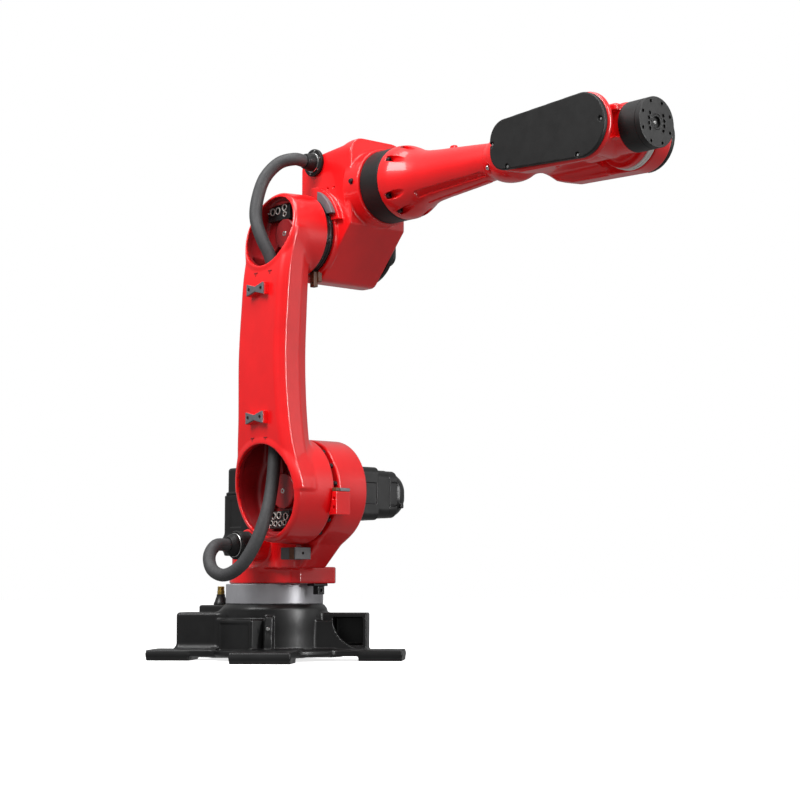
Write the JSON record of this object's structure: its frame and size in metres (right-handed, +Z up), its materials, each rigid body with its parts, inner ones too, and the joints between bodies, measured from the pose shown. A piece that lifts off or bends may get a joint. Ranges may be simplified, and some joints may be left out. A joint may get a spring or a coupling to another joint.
{
  "type": "industrial robot arm",
  "caption": "Floor-mounted jointed industrial robot arm with a cross-footed base, hollow lower arm, external hose and a bolted tool flange.",
  "frame": {"origin": "on the floor, at the centre of the four floor bolts", "axes": "+Z up, parallel to the turning axis, which stands 12 mm behind the origin, +X forward along the forearm at rest, +Y to the robot's left"},
  "size_m": [1.613, 0.5942, 1.306],
  "materials": {
    "black_paint": "satin black paint on cast iron",
    "red_paint": "gloss red paint on cast aluminium",
    "black_motor": "satin black motor enamel",
    "black_plastic": "moulded plastic with a fine grain",
    "black_steel": "black oxide on machined steel",
    "aluminium": "fine turned surface",
    "steel": "brushed",
    "brass": "machined",
    "grey_rubber": "moulded",
    "hose": "smooth extruded jacket"
  },
  "bodies": {
    "base": {"base_casting": "black_paint", "rear_panel": "steel", "rear_connectors": "black_plastic", "brass_fitting": "brass", "j1_reducer_ring": "aluminium"},
    "turntable": {"turntable_casting": "red_paint", "j1_motor": "black_motor", "j1_motor_cap": "black_plastic", "j1_stop_block": "black_steel", "j2_reducer_ring": "black_steel", "j2_motor": "black_motor", "j2_motor_cap": "black_plastic", "j2_stop_block": "red_paint", "j2_bumper": "grey_rubber", "lower_gland": "black_plastic", "lower_gland_ring": "steel", "hose_lower": "hose"},
    "lower_arm": {"lower_arm_casting": "red_paint", "arm_pads": "steel", "lower_cable_plate": "black_steel", "upper_cable_plate": "black_steel", "j3_reducer_ring": "black_steel", "hose_middle": "hose"},
    "elbow": {"elbow_housing": "red_paint", "j3_motor": "black_motor", "j3_motor_cap": "black_plastic", "j3_stop_block": "steel", "elbow_rear_cover": "red_paint", "upper_gland": "black_plastic", "upper_gland_ring": "steel", "hose_upper": "hose"},
    "forearm": {"j4_band": "black_steel", "forearm_tube": "red_paint", "wrist_fork": "red_paint", "near_cover": "black_plastic", "far_cover": "black_plastic"},
    "wrist": {"wrist_body": "red_paint", "j5_ring": "aluminium", "j6_housing": "black_steel"},
    "tool_flange": {"tool_flange": "black_steel"}
  },
  "joints": [
    {"name": "j1_turn", "type": "hinge", "parent": "base", "child": "turntable", "pos_m": [-0.012, 0, 0.198], "axis": [0, 0, 1], "range_deg": [-155, 155]},
    {"name": "j2_shoulder", "type": "hinge", "parent": "turntable", "child": "lower_arm", "pos_m": [0.25, 0, 0.424], "axis": [0, 1, 0], "range_deg": [-65, 80], "deforming": ["hose_lower"]},
    {"name": "j3_elbow", "type": "hinge", "parent": "lower_arm", "child": "elbow", "pos_m": [0.25, 0, 1.068], "axis": [0, -1, 0], "range_deg": [-75, 110], "deforming": ["hose_upper"]},
    {"name": "j4_forearm_roll", "type": "hinge", "parent": "elbow", "child": "forearm", "pos_m": [0.438, 0, 1.18], "axis": [1, 0, 0], "range_deg": [-180, 180]},
    {"name": "j5_wrist_pitch", "type": "hinge", "parent": "forearm", "child": "wrist", "pos_m": [1.198, 0, 1.18], "axis": [0, 1, 0], "range_deg": [-115, 115]},
    {"name": "j6_flange_roll", "type": "hinge", "parent": "wrist", "child": "tool_flange", "pos_m": [1.3102, 0, 1.18], "axis": [1, 0, 0], "range_deg": [-360, 360]}
  ]
}
